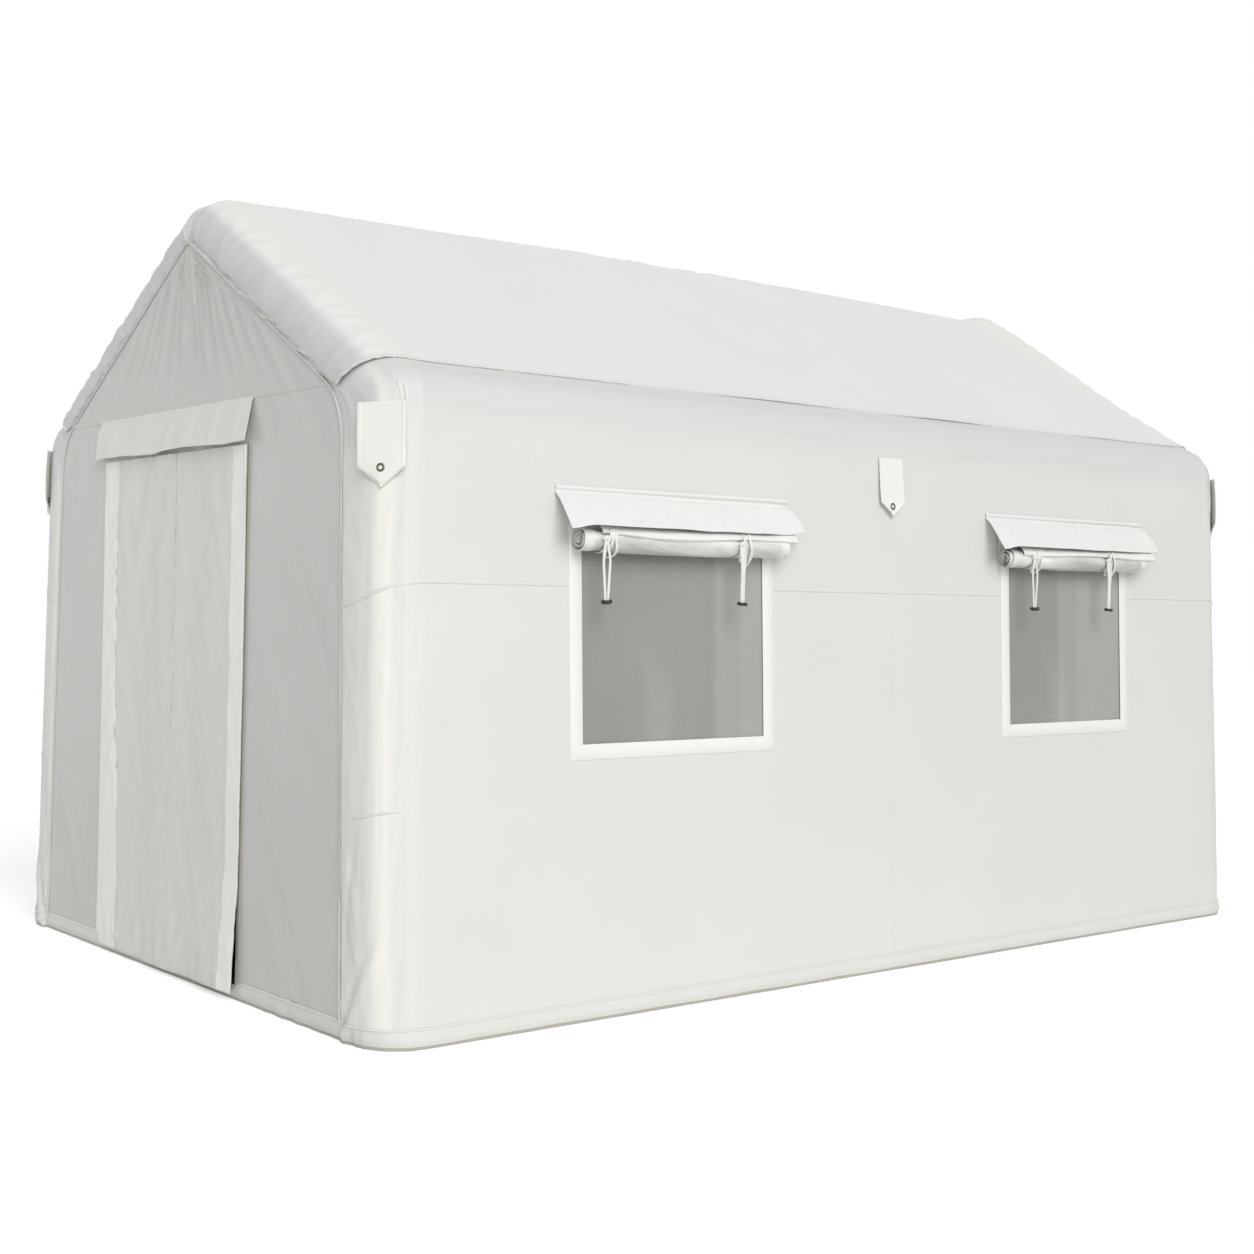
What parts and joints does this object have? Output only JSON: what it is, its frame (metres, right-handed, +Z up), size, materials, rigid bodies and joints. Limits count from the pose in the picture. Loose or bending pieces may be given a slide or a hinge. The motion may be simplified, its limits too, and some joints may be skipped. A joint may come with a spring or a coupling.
{
  "type": "inflatable frame tent",
  "caption": "Pitched-roof work tent on inflated arches, with a door curtain under a rain flap, hooded side windows with rolled-up blinds, guy tabs and a ground sheet.",
  "frame": {"origin": "on the ground, under the middle of the floor", "axes": "+Z up, -Y out of the gable with the door, +X out of the long side that the picture shows"},
  "size_m": [2.8032, 4.2465, 2.651],
  "materials": {
    "cover_fabric": "off-white coated fabric, satin",
    "air_tube_fabric": "pale grey coated fabric, satin",
    "ground_sheet_fabric": "grey-brown coated fabric",
    "screen_mesh": "grey mesh, matte",
    "clear_blind_film": "clear flexible film with a pale edge, glossy",
    "tie_tape": "white woven tape",
    "black_plastic": "black moulded plastic",
    "eyelet_metal": "dull grey-brown metal"
  },
  "bodies": {
    "tent": {"front_air_arch": "air_tube_fabric", "middle_air_arch": "air_tube_fabric", "rear_air_arch": "air_tube_fabric", "ridge_beam_front": "air_tube_fabric", "ridge_beam_rear": "air_tube_fabric", "eave_beam_front_right": "air_tube_fabric", "eave_beam_rear_right": "air_tube_fabric", "eave_beam_front_left": "air_tube_fabric", "eave_beam_rear_left": "air_tube_fabric", "inflation_valve_body": "black_plastic", "relief_valve": "black_plastic", "roof_cover": "cover_fabric", "side_wall_right": "cover_fabric", "side_wall_left": "cover_fabric", "front_wall": "cover_fabric", "rear_wall": "cover_fabric", "ground_sheet": "ground_sheet_fabric", "window_screen_front_right": "screen_mesh", "window_screen_rear_right": "screen_mesh", "window_screen_front_left": "screen_mesh", "window_screen_rear_left": "screen_mesh", "blind_roll_front_right": "clear_blind_film", "blind_roll_rear_right": "clear_blind_film", "blind_roll_front_left": "clear_blind_film", "blind_roll_rear_left": "clear_blind_film"},
    "door_curtain": {"door_curtain": "cover_fabric"},
    "door_header_flap": {"door_header_flap": "cover_fabric"},
    "valve_cap": {"inflation_valve_cap": "black_plastic"},
    "window_hood_front_right": {"window_hood_front_right": "cover_fabric"},
    "window_hood_rear_right": {"window_hood_rear_right": "cover_fabric"},
    "window_hood_front_left": {"window_hood_front_left": "cover_fabric"},
    "window_hood_rear_left": {"window_hood_rear_left": "cover_fabric"},
    "tie_front_right_1": {"tie_tape_front_right_1": "tie_tape", "tie_toggle_front_right_1": "black_plastic"},
    "tie_front_right_2": {"tie_tape_front_right_2": "tie_tape", "tie_toggle_front_right_2": "black_plastic"},
    "tie_rear_right_1": {"tie_tape_rear_right_1": "tie_tape", "tie_toggle_rear_right_1": "black_plastic"},
    "tie_rear_right_2": {"tie_tape_rear_right_2": "tie_tape", "tie_toggle_rear_right_2": "black_plastic"},
    "tie_front_left_1": {"tie_tape_front_left_1": "tie_tape", "tie_toggle_front_left_1": "black_plastic"},
    "tie_front_left_2": {"tie_tape_front_left_2": "tie_tape", "tie_toggle_front_left_2": "black_plastic"},
    "tie_rear_left_1": {"tie_tape_rear_left_1": "tie_tape", "tie_toggle_rear_left_1": "black_plastic"},
    "tie_rear_left_2": {"tie_tape_rear_left_2": "tie_tape", "tie_toggle_rear_left_2": "black_plastic"},
    "tab_front_right": {"guy_tab_front_right": "cover_fabric", "tab_eyelet_front_right": "eyelet_metal"},
    "tab_middle_right": {"guy_tab_middle_right": "cover_fabric", "tab_eyelet_middle_right": "eyelet_metal"},
    "tab_rear_right": {"guy_tab_rear_right": "cover_fabric", "tab_eyelet_rear_right": "eyelet_metal"},
    "tab_front_left": {"guy_tab_front_left": "cover_fabric", "tab_eyelet_front_left": "eyelet_metal"},
    "tab_middle_left": {"guy_tab_middle_left": "cover_fabric", "tab_eyelet_middle_left": "eyelet_metal"},
    "tab_rear_left": {"guy_tab_rear_left": "cover_fabric", "tab_eyelet_rear_left": "eyelet_metal"}
  },
  "joints": [
    {"name": "door_swing", "type": "hinge", "parent": "tent", "child": "door_curtain", "pos_m": [-0.645, -2.10078, 0.02001], "axis": [0, -0.011, -0.9999], "range_deg": [0, 100]},
    {"name": "header_flap_lift", "type": "hinge", "parent": "tent", "child": "door_header_flap", "pos_m": [-0.685, -2.07921, 1.91689], "axis": [-1, 0, 0], "range_deg": [0, 90]},
    {"name": "valve_cap_turn", "type": "hinge", "parent": "tent", "child": "valve_cap", "pos_m": [-1.19838, 1.81516, 0.29519], "axis": [0, -1, 0], "continuous": true},
    {"name": "hood_lift_front_right", "type": "hinge", "parent": "tent", "child": "window_hood_front_right", "pos_m": [1.29474, -1, 1.63407], "axis": [0, -1, 0], "range_deg": [0, 90]},
    {"name": "hood_lift_rear_right", "type": "hinge", "parent": "tent", "child": "window_hood_rear_right", "pos_m": [1.29474, 1, 1.63407], "axis": [0, -1, 0], "range_deg": [0, 90]},
    {"name": "hood_lift_front_left", "type": "hinge", "parent": "tent", "child": "window_hood_front_left", "pos_m": [-1.29474, -1, 1.63407], "axis": [0, 1, 0], "range_deg": [0, 90]},
    {"name": "hood_lift_rear_left", "type": "hinge", "parent": "tent", "child": "window_hood_rear_left", "pos_m": [-1.29474, 1, 1.63407], "axis": [0, 1, 0], "range_deg": [0, 90]},
    {"name": "tie_swing_front_right_1", "type": "hinge", "parent": "tent", "child": "tie_front_right_1", "pos_m": [1.3767, -1.35, 1.48376], "axis": [0, -1, 0], "range_deg": [0, 75]},
    {"name": "tie_swing_front_right_2", "type": "hinge", "parent": "tent", "child": "tie_front_right_2", "pos_m": [1.3767, -0.79, 1.48376], "axis": [0, -1, 0], "range_deg": [0, 75]},
    {"name": "tie_swing_rear_right_1", "type": "hinge", "parent": "tent", "child": "tie_rear_right_1", "pos_m": [1.3767, 0.702, 1.48376], "axis": [0, -1, 0], "range_deg": [0, 75]},
    {"name": "tie_swing_rear_right_2", "type": "hinge", "parent": "tent", "child": "tie_rear_right_2", "pos_m": [1.3767, 1.158, 1.48376], "axis": [0, -1, 0], "range_deg": [0, 75]},
    {"name": "tie_swing_front_left_1", "type": "hinge", "parent": "tent", "child": "tie_front_left_1", "pos_m": [-1.3767, -0.65, 1.48376], "axis": [0, 1, 0], "range_deg": [0, 75]},
    {"name": "tie_swing_front_left_2", "type": "hinge", "parent": "tent", "child": "tie_front_left_2", "pos_m": [-1.3767, -1.21, 1.48376], "axis": [0, 1, 0], "range_deg": [0, 75]},
    {"name": "tie_swing_rear_left_1", "type": "hinge", "parent": "tent", "child": "tie_rear_left_1", "pos_m": [-1.3767, 1.298, 1.48376], "axis": [0, 1, 0], "range_deg": [0, 75]},
    {"name": "tie_swing_rear_left_2", "type": "hinge", "parent": "tent", "child": "tie_rear_left_2", "pos_m": [-1.3767, 0.842, 1.48376], "axis": [0, 1, 0], "range_deg": [0, 75]},
    {"name": "tab_lift_front_right", "type": "hinge", "parent": "tent", "child": "tab_front_right", "pos_m": [1.22916, -2.0532, 1.84383], "axis": [-0.8112, -0.5844, -0.0212], "range_deg": [0, 85]},
    {"name": "tab_lift_middle_right", "type": "hinge", "parent": "tent", "child": "tab_middle_right", "pos_m": [1.28886, 0, 1.80697], "axis": [0, -1, 0], "range_deg": [0, 85]},
    {"name": "tab_lift_rear_right", "type": "hinge", "parent": "tent", "child": "tab_rear_right", "pos_m": [1.22916, 2.0532, 1.84383], "axis": [0.8112, -0.5844, 0.0212], "range_deg": [0, 85]},
    {"name": "tab_lift_front_left", "type": "hinge", "parent": "tent", "child": "tab_front_left", "pos_m": [-1.22916, -2.0532, 1.84383], "axis": [-0.8112, 0.5844, 0.0212], "range_deg": [0, 85]},
    {"name": "tab_lift_middle_left", "type": "hinge", "parent": "tent", "child": "tab_middle_left", "pos_m": [-1.28886, 0, 1.80697], "axis": [0, 1, 0], "range_deg": [0, 85]},
    {"name": "tab_lift_rear_left", "type": "hinge", "parent": "tent", "child": "tab_rear_left", "pos_m": [-1.22916, 2.0532, 1.84383], "axis": [0.8112, 0.5844, -0.0212], "range_deg": [0, 85]}
  ]
}
